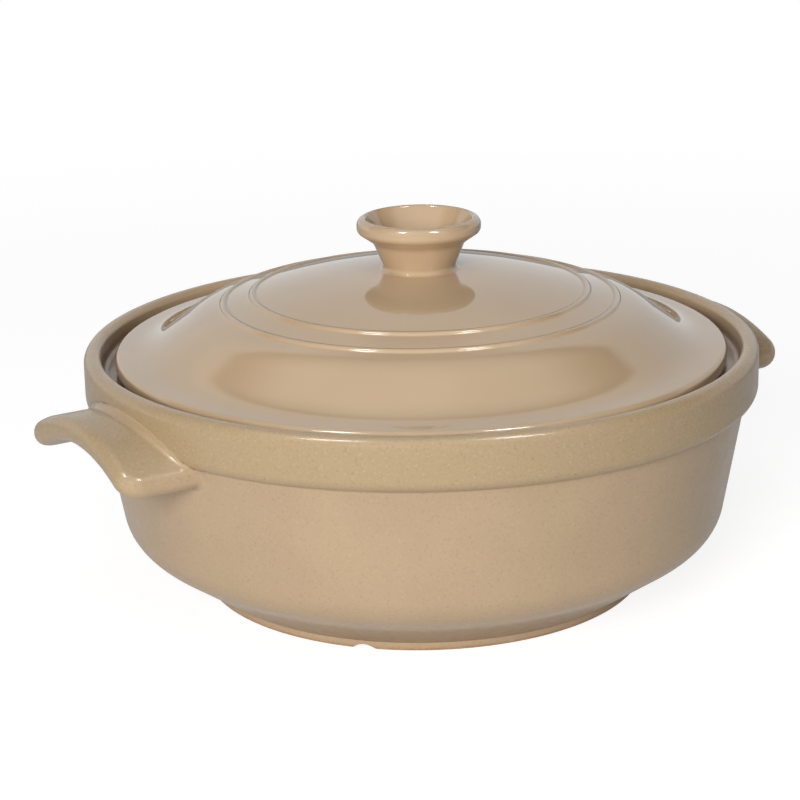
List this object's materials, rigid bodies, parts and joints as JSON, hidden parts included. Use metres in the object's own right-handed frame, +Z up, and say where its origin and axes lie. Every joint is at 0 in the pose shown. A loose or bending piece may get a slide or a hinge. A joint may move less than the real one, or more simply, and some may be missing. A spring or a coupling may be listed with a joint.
{
  "type": "lidded clay pot",
  "caption": "Low round clay cooking pot with a thick collar, arched lug handles at its sides and a loose domed lid that carries a hollow flared knob.",
  "frame": {"origin": "centre of the foot ring's resting face", "axes": "+Z up, X through the middles of the lug handles, Y across them"},
  "size_m": [0.342, 0.3, 0.1653],
  "materials": {
    "body_glaze": "satin",
    "lid_glaze": "gloss",
    "bare_clay": "matte"
  },
  "bodies": {
    "pot": {"bowl": "body_glaze", "foot_ring": "bare_clay", "left_handle": "body_glaze", "right_handle": "body_glaze"},
    "lid": {"lid": "lid_glaze", "lid_knob": "lid_glaze"}
  },
  "joints": [
    {"name": "lid_lift", "type": "slide", "parent": "pot", "child": "lid", "axis": [0, 0, 1], "range_m": [0, 0.12]}
  ]
}
